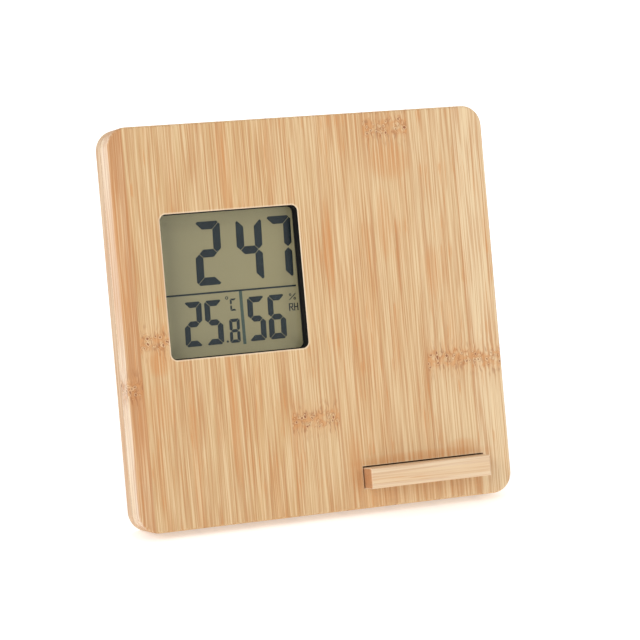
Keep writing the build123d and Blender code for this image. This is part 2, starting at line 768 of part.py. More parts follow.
def make_fixed_leaf():
    """The hinge leaf on the panel, with the two outer knuckles."""
    x0 = LEG_X - LEAF_HALF_WIDTH
    x1 = LEG_X + LEAF_HALF_WIDTH
    leaf = block(x0, x1, PANEL_DEPTH, PANEL_DEPTH + LEAF_THICK, HINGE_Z, HINGE_Z + LEAF_REACH)
    leaf -= block(
        LEG_X - OUTER_KNUCKLE,
        LEG_X + OUTER_KNUCKLE,
        PANEL_DEPTH,
        PANEL_DEPTH + LEAF_THICK,
        HINGE_Z,
        HINGE_Z + LEAF_CLEAR,
    )
    leaf += rod_x(HINGE_Y, HINGE_Z, KNUCKLE_R, x0, LEG_X - OUTER_KNUCKLE)
    leaf += rod_x(HINGE_Y, HINGE_Z, KNUCKLE_R, LEG_X + OUTER_KNUCKLE, x1)
    leaf -= rod_x(HINGE_Y, HINGE_Z, PIN_R + SCREW_FIT, x0, x1)
    back = PANEL_DEPTH + LEAF_THICK
    for x, z in hinge_screw_places(above=True):
        leaf -= countersink(x, z, back, HINGE_SCREW_R, HINGE_HEAD_R, PANEL_DEPTH - 1)
    return leaf


def make_hinge_pin():
    """The hinge pin, a little longer than the knuckles."""
    x0 = LEG_X - LEAF_HALF_WIDTH - PIN_OVERHANG
    x1 = LEG_X + LEAF_HALF_WIDTH + PIN_OVERHANG
    return rod_x(HINGE_Y, HINGE_Z, PIN_R, x0, x1)


def make_fixed_hinge_screws():
    """Two wood screws through the fixed leaf into the rear board."""
    head = PANEL_DEPTH + LEAF_THICK
    tip = head - HINGE_SCREW_LENGTH
    screws = [
        countersunk(x, z, head, tip, HINGE_SCREW_R, HINGE_HEAD_R)
        for x, z in hinge_screw_places(above=True)
    ]
    return Compound(screws)


def open_out(piece):
    """Turn a piece of the leg from folded flat to its open place."""
    return piece.rotate(Axis((0, HINGE_Y, HINGE_Z), (1, 0, 0)), LEG_OPEN)


def make_leg_leaf():
    """The hinge leaf on the leg, drawn folded flat, with the middle knuckle."""
    front = PANEL_DEPTH + LEG_LEAF_FRONT
    back = front + LEAF_THICK
    leaf = block(
        LEG_X - LEAF_HALF_WIDTH,
        LEG_X + LEAF_HALF_WIDTH,
        front,
        back,
        HINGE_Z - LEAF_REACH,
        HINGE_Z - LEAF_CLEAR,
    )
    leaf += block(
        LEG_X - MIDDLE_KNUCKLE, LEG_X + MIDDLE_KNUCKLE, front, back, HINGE_Z - LEAF_CLEAR - 1, HINGE_Z
    )
    leaf += rod_x(HINGE_Y, HINGE_Z, KNUCKLE_R, LEG_X - MIDDLE_KNUCKLE, LEG_X + MIDDLE_KNUCKLE)
    leaf -= rod_x(HINGE_Y, HINGE_Z, PIN_R + PIN_FIT, LEG_X - MIDDLE_KNUCKLE, LEG_X + MIDDLE_KNUCKLE)
    for x, z in hinge_screw_places(above=False):
        leaf -= countersink(x, z, front, HINGE_SCREW_R, HINGE_HEAD_R, back + 1)
    return leaf


def make_leg_hinge_screws():
    """Two wood screws through the moving leaf into the leg, drawn folded flat."""
    head = PANEL_DEPTH + LEG_LEAF_FRONT
    tip = head + HINGE_SCREW_LENGTH - LEG_SCREW_SHORTER
    screws = [
        countersunk(x, z, head, tip, HINGE_SCREW_R, HINGE_HEAD_R)
        for x, z in hinge_screw_places(above=False)
    ]
    return Compound(screws)


def make_leg_blank():
    """The tapered leg with its two horns, drawn folded flat, before its ends are trimmed."""
    front = PANEL_DEPTH + LEG_LEAF_FRONT + LEAF_THICK
    top = HINGE_Z + LEG_HORN
    foot = HINGE_Z - LEG_REACH
    face = Plane(origin=(LEG_X, front, 0), x_dir=(1, 0, 0), z_dir=(0, -1, 0))
    outline = Polyline(
        (-LEG_TOP_WIDTH / 2, top),
        (LEG_TOP_WIDTH / 2, top),
        (LEG_FOOT_WIDTH / 2, foot),
        (-LEG_FOOT_WIDTH / 2, foot),
        (-LEG_TOP_WIDTH / 2, top),
    )
    blank = extrude(face * make_face(outline), amount=-LEG_THICK)
    blank = fillet(blank.edges().filter_by(Axis.Y).sort_by(Axis.Z)[-2:], LEG_HORN_ROUND)
    blank = fillet(blank.faces().sort_by(Axis.Y)[-1].edges(), LEG_ROUND)
    blank -= block(
        LEG_X - LEG_NOTCH_HALF,
        LEG_X + LEG_NOTCH_HALF,
        front,
        front + LEG_THICK,
        HINGE_Z - LEG_NOTCH_LOW,
        top + 1,
    )
    tip = front - LEAF_THICK + HINGE_SCREW_LENGTH - LEG_SCREW_SHORTER + PILOT_SPARE
    for x, z in hinge_screw_places(above=False):
        blank -= rod(x, z, HINGE_SCREW_R + SCREW_FIT, front, tip)
    return blank


def lean_back(piece):
    """Lean a piece back about the panel's lower rear edge and bring its rest flat to Z = 0."""
    drop = REST_FLAT * sin(radians(LEAN)) * cos(radians(LEAN))
    return Pos(0, 0, -drop) * Rot(-LEAN, 0, 0) * Pos(0, -PANEL_DEPTH, 0) * piece


def floor_slab(z0, z1):
    """A slab across the whole footprint, between two heights above the floor."""
    return block(-PANEL_SIDE, PANEL_SIDE, -PANEL_SIDE, PANEL_SIDE, z0, z1)


def upright_pieces():
    """Every piece that only has to be leaned back."""
    pieces = {
        "front_board": make_front_board(),
        "display_bezel": make_display_bezel(),
        "display_lens": display_layer(LENS_SIDE, LENS_FRONT, LENS_BACK),
        "front_polariser": display_layer(FILM_SIDE, FILM_FRONT, GLASS_FRONT),
        "lcd_glass": make_lcd_glass(),
        "rear_reflector": display_layer(FILM_SIDE, GLASS_BACK, GLASS_BACK + FILM_THICK),
        "zebra_strip": make_zebra_strip(),
        "circuit_board": make_circuit_board(),
        "board_screws": make_board_screws(),
        "controller_chip": make_controller_chip(),
        "clock_crystal": make_clock_crystal(),
        "humidity_sensor": make_humidity_sensor(),
        "passive_parts": make_passive_parts(),
        "tact_switches": make_tact_switches(),
        "module_housing": make_module_housing(),
        "housing_screws": make_housing_screws(),
        "battery_lower": make_cell(CELL_Z[0], 1),
        "battery_upper": make_cell(CELL_Z[1], -1),
        "battery_link_contact": make_battery_link_contact(),
        "battery_plus_contact": make_battery_plus_contact(),
        "battery_minus_contact": make_battery_minus_contact(),
        "red_lead": make_lead(CELL_Z[0] - TAB_HALF_WIDTH, PLUS_TAB_Y, LEAD_END_X["red"]),
        "black_lead": make_lead(CELL_Z[1] - TAB_HALF_WIDTH, MINUS_TAB_Y, LEAD_END_X["black"]),
        "battery_door": make_battery_door(),
        "phone_ledge": make_phone_ledge(),
        "fixed_hinge_leaf": make_fixed_leaf(),
        "hinge_pin": make_hinge_pin(),
        "fixed_hinge_screws": make_fixed_hinge_screws(),
        "leg_hinge_leaf": open_out(make_leg_leaf()),
        "leg_hinge_screws": open_out(make_leg_hinge_screws()),
    }
    for name in BUTTON_X:
        pieces[name + "_button"] = make_button(name)
    return pieces


def all_pieces():
    """Every piece, leaned back, with those that meet the floor trimmed to it."""
    pieces = {name: lean_back(piece) for name, piece in upright_pieces().items()}
    pieces["rear_board"] = lean_back(make_rear_board()) - floor_slab(-10, 0)
    stop = block(
        LEG_X - LEG_TOP_WIDTH, LEG_X + LEG_TOP_WIDTH, 0, PANEL_DEPTH + LEG_STOP_GAP, 0, PANEL_SIDE
    )
    leg = lean_back(open_out(make_leg_blank()) - stop)
    pieces["support_leg"] = leg - floor_slab(-20, LEG_PAD)
    pieces["leg_pad"] = leg & floor_slab(0, LEG_PAD)
    return pieces


def centred(pieces):
    """Move the whole object so that the middle of its footprint is the origin."""
    box = Compound(list(pieces.values())).bounding_box()
    shift = -(box.min.Y + box.max.Y) / 2
    return {name: Pos(0, shift, 0) * piece for name, piece in pieces.items()}, shift


PIECES, FOOTPRINT_SHIFT = centred(all_pieces())
os.makedirs("parts", exist_ok=True)
for node, shape in PIECES.items():
    export_step(shape, "parts/" + node + ".step")
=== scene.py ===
"""Looks of the home weather station: bamboo, display, module, stand, light and camera.

Lengths in the panel's own frame are in millimetres: x to the right, n backwards from the
front face, u up the panel. place() turns them into the row frame, in metres.
"""
from math import cos, radians, sin

import bpy
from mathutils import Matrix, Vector


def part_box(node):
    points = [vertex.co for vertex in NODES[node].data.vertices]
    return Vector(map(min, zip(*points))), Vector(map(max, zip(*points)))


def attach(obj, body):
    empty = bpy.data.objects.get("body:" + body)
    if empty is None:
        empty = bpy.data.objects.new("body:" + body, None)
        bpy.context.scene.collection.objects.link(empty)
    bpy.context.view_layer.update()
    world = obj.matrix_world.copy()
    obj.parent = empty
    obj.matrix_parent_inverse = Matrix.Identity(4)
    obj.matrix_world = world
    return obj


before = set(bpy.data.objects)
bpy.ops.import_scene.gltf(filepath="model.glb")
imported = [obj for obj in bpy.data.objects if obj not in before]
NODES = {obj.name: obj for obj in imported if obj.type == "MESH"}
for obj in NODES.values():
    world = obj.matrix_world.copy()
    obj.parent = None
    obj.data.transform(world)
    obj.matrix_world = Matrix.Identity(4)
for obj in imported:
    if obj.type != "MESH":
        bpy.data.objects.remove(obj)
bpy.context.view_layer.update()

# ---- the panel's frame, worked out from where the display's film lies ----
MM = 0.001
LEAN = radians(14.3)
PANEL_DEPTH = 16.0
BOARD_SEAM = 9.0
FILM_FRONT = 6.6
FILM_LOW = 62.7
FILM_HIGH = 117.1
FILM_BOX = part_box("front_polariser")
SHIFT_Y = FILM_BOX[0].y / MM - (FILM_FRONT - PANEL_DEPTH) * cos(LEAN) - FILM_LOW * sin(LEAN)
SHIFT_Z = FILM_BOX[1].z / MM + (FILM_FRONT - PANEL_DEPTH) * sin(LEAN) - FILM_HIGH * cos(LEAN)


def place(x, n, u):
    """A point of the panel's frame, in the row frame."""
    y = (n - PANEL_DEPTH) * cos(LEAN) + u * sin(LEAN) + SHIFT_Y
    z = (PANEL_DEPTH - n) * sin(LEAN) + u * cos(LEAN) + SHIFT_Z
    return Vector((x, y, z)) * MM


PANEL_ORIGIN = place(0, 0, 0)

# ---- the leg's frame: its hinge in the panel's frame, and the lean of its length ----
LEG_HINGE = (34.0, 18.3, 82.0)
LEG_OPENING = radians(24.0)
LEG_ORIGIN = place(*LEG_HINGE)
LEG_TILT = LEAN - LEG_OPENING

# ---- camera ----
CAMERA_PLACE = (-0.3194, -0.8615, 0.3079)
CAMERA_AIM = (0.0017, -0.0083, 0.0740)
CAMERA_LENS = 140.6


def colour(red, green, blue):
    """A screen colour from 0 to 255 as the linear colour that shaders use."""
    linear = []
    for value in (red / 255, green / 255, blue / 255):
        linear.append(value / 12.92 if value <= 0.04045 else ((value + 0.055) / 1.055) ** 2.4)
    return (*linear, 1.0)


class Tree:
    """A material's node tree with one Principled shader, and short ways to add nodes."""

    def __init__(self, name):
        self.material = bpy.data.materials.new(name)
        self.material.use_nodes = True
        self.nodes = self.material.node_tree.nodes
        self.links = self.material.node_tree.links
        self.nodes.clear()
        self.output = self.nodes.new("ShaderNodeOutputMaterial")
        self.shader = self.nodes.new("ShaderNodeBsdfPrincipled")
        self.links.new(self.shader.outputs[0], self.output.inputs["Surface"])

    def put(self, socket, value):
        if isinstance(value, bpy.types.NodeSocket):
            self.links.new(value, socket)
        else:
            socket.default_value = value

    def node(self, kind, *values, **settings):
        node = self.nodes.new("ShaderNode" + kind)
        for key, value in settings.items():
            setattr(node, key, value)
        for socket, value in zip(node.inputs, values):
            if value is not None:
                self.put(socket, value)
        return node

    def math(self, operation, *values, clamp=False):
        return self.node("Math", *values, operation=operation, use_clamp=clamp).outputs[0]

    def add(self, a, b):
        return self.math("ADD", a, b)

    def times(self, a, b):
        return self.math("MULTIPLY", a, b)

    def square(self, value):
        return self.times(value, value)

    def away(self, value, centre):
        """How far a value is from a centre, either way."""
        return self.math("ABSOLUTE", self.add(value, -centre))

    def step(self, value, low, high):
        """0 at low, 1 at high, smooth between; low may be the greater."""
        node = self.node("MapRange", value, low, high, 0.0, 1.0)
        node.interpolation_type = "SMOOTHSTEP"
        return node.outputs[0]

    def span(self, value, low, high, soft):
        """1 between low and high, with soft ends."""
        rise = self.step(value, low - soft, low + soft)
        return self.times(rise, self.step(value, high + soft, high - soft))

    def scale(self, value, low, high, start, end):
        """A value from low to high, brought to the range from start to end."""
        return self.node("MapRange", value, low, high, start, end).outputs[0]

    def mix(self, share, a, b):
        """Colour a with a share of colour b."""
        node = self.node("Mix", data_type="RGBA")
        for index, value in ((0, share), (6, a), (7, b)):
            self.put(node.inputs[index], value)
        return node.outputs[2]

    def join(self, x, y, z):
        return self.node("CombineXYZ", x, y, z).outputs[0]

    def grid(self, parts, rates, shifts=(0.0, 0.0, 0.0)):
        """A texture's place: each coordinate times its rate, plus its shift."""
        scaled = zip(parts, rates, shifts)
        return self.join(*(self.add(self.times(part, rate), shift) for part, rate, shift in scaled))

    def noise(self, vector, scale=1.0, detail=2.0, roughness=0.5):
        node = self.node("TexNoise", vector)
        for key, value in (("Scale", scale), ("Detail", detail), ("Roughness", roughness)):
            node.inputs[key].default_value = value
        return node.outputs[0]

    def cells(self, vector, feature="F1", jitter=1.0):
        """Distance from the middle, or from the edge, of irregular cells."""
        node = self.node("TexVoronoi", vector, feature=feature)
        node.inputs["Scale"].default_value = 1.0
        node.inputs["Randomness"].default_value = jitter
        return node.outputs["Distance"]

    def bands(self, value, stops):
        """Flat colours, each from its own stop between 0 and 1."""
        node = self.node("ValToRGB", value)
        node.color_ramp.interpolation = "CONSTANT"
        points = node.color_ramp.elements
        while len(points) > 1:
            points.remove(points[-1])
        points[0].position, points[0].color = stops[0]
        for position, tone in stops[1:]:
            points.new(position).color = tone
        return node.outputs[0]

    def frame_axes(self, origin=PANEL_ORIGIN, tilt=LEAN):
        """The object's own coordinates as x, n, u in millimetres in a leaned frame."""
        where = self.node("TexCoord").outputs["Object"]
        turned = self.node(
            "Mapping", where, tuple(origin), (-tilt, 0, 0), (MM, MM, MM), vector_type="TEXTURE"
        )
        parts = self.node("SeparateXYZ", turned.outputs[0])
        return parts.outputs[0], parts.outputs[1], parts.outputs[2]

    def frame_normal(self, tilt=LEAN):
        """The size of the surface normal's x, n and u parts in a leaned frame."""
        normal = self.node("TexCoord").outputs["Normal"]
        turned = self.node("Mapping", normal, (0, 0, 0), (tilt, 0, 0), vector_type="VECTOR")
        parts = self.node("SeparateXYZ", turned.outputs[0])
        return [self.math("ABSOLUTE", part) for part in parts.outputs]

    def edge(self, width):
        """1 on the outer edges of the shape, within width millimetres."""
        bevel = self.node("Bevel", samples=4)
        bevel.inputs["Radius"].default_value = width * MM
        flat = self.node("NewGeometry").outputs["Normal"]
        match = self.node("VectorMath", bevel.outputs[0], flat, operation="DOT_PRODUCT")
        return self.step(match.outputs["Value"], 0.995, 0.8)

    def bump(self, height, strength, distance):
        node = self.node("Bump")
        node.inputs["Strength"].default_value = strength
        node.inputs["Distance"].default_value = distance * MM
        self.put(node.inputs["Height"], height)
        self.put(self.shader.inputs["Normal"], node.outputs[0])

    def finish(self, tint, rough, **settings):
        self.put(self.shader.inputs["Base Color"], tint)
        self.put(self.shader.inputs["Roughness"], rough)
        for key, value in settings.items():
            self.shader.inputs[key.replace("_", " ")].default_value = value
        return self.material


# ---- bamboo ----
PALE = colour(229, 203, 162)
CREAM = colour(232, 206, 168)
STREAK = colour(184, 131, 84)
ORANGE = colour(201, 141, 86)
KNOT_BROWN = colour(140, 82, 46)
# The tone of the painted highlights on the edges and round the window.
PAINTED_HIGHLIGHT = colour(244, 226, 198)
STAIN = colour(4, 4, 5)
GLUE_BROWN = colour(150, 104, 68)
END_TAN = colour(208, 168, 120)

# Each piece is glued up from strips, as (right edge in mm, its tone), or upper edge on the
# ledge. A span is the stretch across a piece in which its strips are placed.
PANEL_SPAN = (-75.5, 75.5)
LEDGE_SPAN = (7.0, 16.0)
# The front board's strips grow paler from left to right.
FRONT_STRIPS = (
    (-69.2, (191, 140, 96)),
    (-50.4, (202, 167, 121)),
    (-31.6, (203, 169, 123)),
    (-12.7, (203, 167, 119)),
    (6.5, (209, 177, 132)),
    (26.0, (208, 172, 126)),
    (44.2, (210, 178, 134)),
    (62.3, (214, 185, 143)),
    (75.5, (223, 198, 159)),
)
REAR_STRIPS = (
    (-58.0, (203, 168, 122)),
    (-39.0, (209, 176, 130)),
    (-20.5, (200, 160, 113)),
    (-2.0, (207, 174, 130)),
    (17.0, (202, 164, 118)),
    (35.5, (211, 180, 136)),
    (54.0, (203, 167, 120)),
    (75.5, (208, 175, 132)),
)
LEG_STRIPS = ((-7.0, (203, 166, 120)), (6.5, (210, 178, 134)), (20.0, (201, 162, 115)))
LEDGE_STRIPS = ((9.4, (226, 201, 170)), (13.0, (221, 192, 157)), (20.0, (225, 200, 169)))

# The window lies in front of the display's film. Its walls are stained black, and a rim on the
# face carries a painted highlight: fully up to RIM_WIDTH from the window, and not at all from
# RIM_END.
WINDOW_X = (FILM_BOX[0].x / MM, FILM_BOX[1].x / MM)
WINDOW_U = (FILM_LOW, FILM_HIGH)
DISPLAY_X = sum(WINDOW_X) / 2
DISPLAY_U = sum(WINDOW_U) / 2
WINDOW_HALF = 27.0
WINDOW_CORNER = 2.4
RIM_WIDTH = 0.25
RIM_END = 0.75

# Knuckles are the growth rings that cross a strip, as (left, right, height up the panel).
FRONT_KNUCKLES = (
    (25.8, 43.8, 143.7),
    (-69.0, -50.6, 70.5),
    (-76.0, -69.3, 53.8),
    (-12.6, 6.4, 35.7),
    (44.3, 62.2, 53.8),
    (62.4, 76.0, 52.3),
)
REAR_KNUCKLES = ((-39.0, -20.5, 18.0), (17.2, 35.3, 120.0), (54.2, 76.0, 61.0))

# Orange patches as (x, height, half width, half height, strength). Those round the ledge are
# painted warm shade and reflection.
FRONT_PATCHES_AND_SHADE = (
    (8.0, 99.0, 2.0, 17.0, 0.6),
    (31.0, 107.0, 3.0, 13.0, 0.45),
    (35.0, 131.0, 8.0, 7.0, 0.45),
    (49.5, 87.0, 3.5, 10.0, 0.4),
    (-63.0, 46.0, 6.0, 9.0, 0.35),
    (-62.0, 62.5, 5.0, 5.0, 0.6),
    # Painted warm shade by the ledge's left end.
    (11.5, 17.0, 3.0, 12.0, 0.4),
    (55.5, 19.5, 6.0, 3.0, 0.5),
    (-35.0, 42.0, 2.0, 26.0, 0.5),
    (-30.5, 129.0, 2.5, 17.0, 0.5),
    (-73.5, 101.0, 2.2, 30.0, 0.5),
    (-51.0, 28.0, 1.6, 30.0, 0.45),
    # Painted warm reflection and shade just above the ledge, then painted shade just below it.
    (38.0, 17.2, 27.0, 2.4, 0.5),
    (38.0, 4.5, 24.0, 4.0, 0.25),
)

# How far a knuckle reaches up and down: where it ends, and where it is at its full strength.
KNUCKLE_CORE = (2.9, 1.7)
KNUCKLE_RINGS = (3.9, 1.9)
KNUCKLE_HALO = (9.0, 2.0)
KNUCKLE_UNEVEN = 1.6

# How far the fibres stray sideways, everywhere and near a knuckle.
FIBRE_DRIFT = 0.5
FIBRE_SWIRL = 1.3

# Layers of fibres: how many a millimetre, how much longer than wide, the noise's detail, and
# where in the noise the layer starts.
FIBRES = {
    "hair": (2.7, 80.0, 1.0, 3.1),
    "fine": (1.35, 60.0, 1.0, 11.3),
    "medium": (0.5, 40.0, 1.0, 27.9),
    "broad": (0.16, 7.0, 2.0, 41.7),
    "flecks": (2.1, 22.0, 0.0, 57.3),
    "lines": (1.6, 80.0, 0.0, 73.9),
    "ticks": (1.0, 4.5, 1.0, 91.3),
}

# How the layers colour the wood, one over the other: the layer, the values at which its tone
# starts and is full, its share everywhere, what a cluster of fibres adds to that, and its tone.
GRAIN = (
    ("medium", 0.5, 0.68, 0.1, 0.0, STREAK),
    ("medium", 0.5, 0.32, 0.12, 0.0, PALE),
    ("fine", 0.5, 0.64, 0.6, 0.0, STREAK),
    ("fine", 0.5, 0.37, 0.55, 0.0, PALE),
    ("hair", 0.5, 0.66, 0.4, 0.0, STREAK),
    ("hair", 0.5, 0.35, 0.34, 0.0, PALE),
    ("lines", 0.58, 0.68, 0.34, 0.3, STREAK),
    ("flecks", 0.62, 0.72, 0.0, 0.6, ORANGE),
    ("broad", 0.5, 0.68, 0.2, 0.0, ORANGE),
    ("broad", 0.5, 0.32, 0.14, 0.0, PALE),
)


class Bamboo(Tree):
    """Laminated bamboo, built up as tones that are laid one over the other.

    Its board coordinates are across the strips, n through the board, and along the fibres.
    The bent ones follow the fibres, which stray sideways.
    """

    def __init__(self, name, knuckles, origin, tilt, sideways, seed):
        super().__init__(name)
        self.x, self.n, self.u = self.frame_axes(origin, tilt)
        normal_x, self.normal_n, normal_u = self.frame_normal(tilt)
        if sideways:
            self.across, self.along = self.u, self.x
            self.side_normal, self.end_normal = normal_u, normal_x
        else:
            self.across, self.along = self.x, self.u
            self.side_normal, self.end_normal = normal_x, normal_u
        self.seed = seed
        self.tones = None
        self.board = (self.across, self.n, self.along)
        self.core, self.rings, self.halo = self.find_knuckles(knuckles)
        self.bent = (self.bend_fibres(), self.n, self.along)
        self.layers = {layer: self.fibres(*FIBRES[layer]) for layer in FIBRES}

    def lay(self, tone, *shares):
        """Lay a tone over the wood, with all these shares multiplied."""
        share = shares[0]
        for other in shares[1:]:
            share = self.times(share, other)
        self.tones = self.mix(share, self.tones, tone)

    def find_knuckles(self, knuckles):
        """1 at the core, in the rings and in the halo of a knuckle, and 0 away from it."""
        uneven = self.noise(self.grid(self.board, (0.5, 0.5, 0.1)), detail=3)
        wave = self.scale(uneven, 0.3, 0.7, -KNUCKLE_UNEVEN, KNUCKLE_UNEVEN)
        zones = []
        for end, full in (KNUCKLE_CORE, KNUCKLE_RINGS, KNUCKLE_HALO):
            zone = 0.0
            for left, right, height in knuckles:
                off = self.away(self.add(self.along, wave), height)
                inside = self.span(self.across, left, right, 0.15)
                near = self.times(inside, self.step(off, end, full))
                zone = self.math("MAXIMUM", zone, near)
            zones.append(zone)
        return zones

    def bend_fibres(self):
        """The place across the board, drifting slowly and swirling near a knuckle."""
        shifts = (0.0, self.seed, 0.0)
        drift = self.noise(self.grid(self.board, (0.05, 0.05, 0.012), shifts), detail=2)
        swirl = self.noise(self.grid(self.board, (0.22, 0.2, 0.16), shifts), detail=2)
        moved = self.add(self.across, self.scale(drift, 0.0, 1.0, -FIBRE_DRIFT, FIBRE_DRIFT))
        swirled = self.scale(swirl, 0.0, 1.0, -FIBRE_SWIRL, FIBRE_SWIRL)
        return self.add(moved, self.times(swirled, self.halo))

    def fibres(self, per_mm, stretch, detail, start):
        """Noise that is drawn out along the fibres."""
        rates = (per_mm, per_mm, per_mm / stretch)
        shifts = (start + self.seed, 0.0, start * 1.7)
        return self.noise(self.grid(self.bent, rates, shifts), detail=detail, roughness=0.55)

    def lay_strips(self, strips, low, high):
        """Each strip's own tone, and the joints between them, which are laid later."""
        edges = [edge for edge, _ in strips[:-1]]
        stops = [
            ((start - low) / (high - low), colour(*tone))
            for start, (_, tone) in zip([low, *edges], strips)
        ]
        self.strip_tones = self.bands(self.scale(self.across, low, high, 0.0, 1.0), stops)
        self.tones = self.strip_tones
        self.joint_lines = 0.0
        for edge in edges:
            near = self.step(self.away(self.across, edge), 0.55, 0.1)
            self.joint_lines = self.math("MAXIMUM", self.joint_lines, near)

    def lay_grain(self, strength):
        """Streaks, hairs and flecks, some of them in clusters."""
        clusters = self.step(self.layers["broad"], 0.4, 0.62)
        for layer, start, full, share, cluster_share, tone in GRAIN:
            total = self.add(share, self.times(clusters, cluster_share))
            self.lay(tone, self.step(self.layers[layer], start, full), total, strength)

    def lay_patches(self, patches):
        """Orange patches with soft ends, uneven over the fine fibres."""
        grainy = self.scale(self.layers["fine"], 0.35, 0.65, 0.35, 1.25)
        for centre, height, half_width, half_height, strength in patches:
            aside = self.square(self.times(self.add(self.bent[0], -centre), 1 / half_width))
            above = self.square(self.times(self.add(self.along, -height), 1 / half_height))
            blot = self.times(self.step(self.add(aside, above), 1.7, 0.1), strength)
            self.lay(ORANGE, self.math("MULTIPLY", blot, grainy, clamp=True))

    def lay_end_grain(self, tone, share, joints):
        """The cut ends of the strips, with their pores and the glue between them."""
        pores = self.step(self.cells(self.grid(self.board, (1.2, 1.2, 0.0))), 0.36, 0.18)
        cut = self.mix(1.3 * joints, tone, self.strip_tones)
        cut = self.mix(self.times(pores, 0.4), cut, KNOT_BROWN)
        cut = self.mix(self.times(self.joint_lines, 2.3 * joints), cut, GLUE_BROWN)
        self.lay(cut, self.step(self.end_normal, 0.45, 0.9), share)

    def lay_knuckles(self):
        """A knuckle: warm wood, upright ticks, stains, a pale core, curls and dark dots."""
        ring_at = self.grid(self.bent, (0.56, 0.3, 0.5), (self.seed + 0.4, 0.0, 0.0))
        bend = self.noise(self.grid(self.bent, (0.9, 0.3, 0.7), (self.seed, 0.0, 0.0)), detail=1)
        spots = self.add(self.cells(ring_at), self.scale(bend, 0.3, 0.7, -0.14, 0.14))
        blots = self.noise(self.grid(self.board, (0.3, 0.3, 0.4), (self.seed, 0.0, 0.0)), detail=2)
        dots = self.times(self.core, self.step(spots, 0.3, 0.17))
        self.lay(ORANGE, self.halo, 0.2)
        self.lay(KNOT_BROWN, self.halo, self.step(self.layers["ticks"], 0.53, 0.66), 0.5)
        self.lay(ORANGE, self.rings, self.step(blots, 0.4, 0.58), 0.6)
        self.lay(PALE, self.core, self.step(spots, 0.44, 0.32), 0.42)
        self.lay(KNOT_BROWN, self.rings, self.step(self.away(spots, 0.48), 0.1, 0.03), 0.34)
        self.lay(KNOT_BROWN, dots, 0.9)
        return dots

    def lay_seam(self):
        """The broken glue line between the front board and the rear board."""
        broken = self.noise(self.grid(self.board, (0.9, 0.0, 0.9)))
        seam = self.step(self.away(self.n, BOARD_SEAM), 0.34, 0.08)
        self.lay(GLUE_BROWN, seam, self.step(broken, 0.4, 0.6), 0.8)

    def lay_window(self):
        """A painted highlight round the window on the face, and black stain on its walls."""
        flat = WINDOW_HALF - WINDOW_CORNER
        past_x = self.math("MAXIMUM", self.add(self.away(self.x, DISPLAY_X), -flat), 0.0)
        past_u = self.math("MAXIMUM", self.add(self.away(self.u, DISPLAY_U), -flat), 0.0)
        reach = self.math("SQRT", self.add(self.square(past_x), self.square(past_u)))
        # Painted highlight: a pale rim round the window's edge on the face.
        rim = self.step(reach, WINDOW_CORNER + RIM_END, WINDOW_CORNER + RIM_WIDTH)
        self.lay(PAINTED_HIGHLIGHT, rim, self.step(self.n, 0.4, 0.2), 0.42)
        wall = self.times(self.span(self.x, *WINDOW_X, 0.05), self.span(self.u, *WINDOW_U, 0.05))
        inner = self.times(self.step(self.n, 0.1, 0.18), self.step(self.normal_n, 0.6, 0.3))
        stain = self.times(wall, inner)
        self.lay(STAIN, stain)
        return stain


def bamboo(
    name, strips, knuckles=(), patches=(), span=PANEL_SPAN, origin=PANEL_ORIGIN, tilt=LEAN,
    sideways=False, seed=0.0, side_tone=CREAM, side_share=0.6, end_tone=END_TAN, end_share=0.8,
    joints=0.3, grain=1.0, edge_highlight=0.45, stained=False
):
    """Laminated bamboo under a satin lacquer.

    Sideways fibres run along x. The shares, joints and grain say how strongly the sides, the
    cut ends, the painted highlight on the edges, the joints between strips and the fibres show.
    """
    t = Bamboo(name, knuckles, origin, tilt, sideways, seed)
    t.lay_strips(strips, *span)
    t.lay(side_tone, t.step(t.side_normal, 0.45, 0.9), side_share)
    t.lay_grain(grain)
    t.lay(STREAK, t.joint_lines, joints)
    t.lay_patches(patches)
    t.lay_end_grain(end_tone, end_share, joints)
    height = t.add(t.times(t.layers["fine"], 0.6), t.times(t.layers["hair"], 0.6))
    if knuckles:
        height = t.add(height, t.times(t.lay_knuckles(), -0.8))
    if not sideways:
        t.lay_seam()
    # Painted highlight along the rounded edges.
    t.lay(PAINTED_HIGHLIGHT, t.edge(0.7), edge_highlight)
    gloss = t.add(t.layers["medium"], t.times(t.layers["hair"], 0.5))
    rough = t.scale(gloss, 0.5, 1.0, 0.42, 0.6)
    if stained:
        rough = t.math("MAXIMUM", rough, t.times(t.lay_window(), 0.95))
    t.bump(height, 0.22, 0.12)
    return t.finish(
        t.tones, rough, Specular_IOR_Level=0.3, Coat_Weight=0.04, Coat_Roughness=0.35
    )


# ---- moulded, metal and other plain surfaces ----
def surface(
    name, dark, light, per_mm=0.4, stretch=(1, 1, 1), rough=(0.35, 0.5), metallic=0.0, wear=None,
    wear_width=0.3, wear_share=0.5, bump=0.15, depth=0.05, texture=4.0, **settings
):
    """Uneven colour, a fine texture, worn edges, and roughness that follows the texture."""
    t = Tree(name)
    axes = t.frame_axes()
    cloud_at = t.grid(axes, [per_mm / long for long in stretch])
    cloud = t.noise(cloud_at, detail=4, roughness=0.6)
    grit = t.noise(t.grid(axes, [texture / long for long in stretch]), detail=2)
    tint = t.mix(t.scale(cloud, 0.35, 0.65, 0.0, 1.0), dark, light)
    tint = t.mix(t.scale(grit, 0.3, 0.7, 0.0, 0.35), tint, dark)
    if wear:
        scuffs = t.times(t.edge(wear_width), t.step(cloud, 0.35, 0.6))
        tint = t.mix(t.times(scuffs, wear_share), tint, wear)
    t.bump(grit, bump, depth)
    gloss = t.scale(t.add(t.times(cloud, 0.6), t.times(grit, 0.4)), 0.35, 0.65, *rough)
    return t.finish(tint, gloss, Metallic=metallic, **settings)


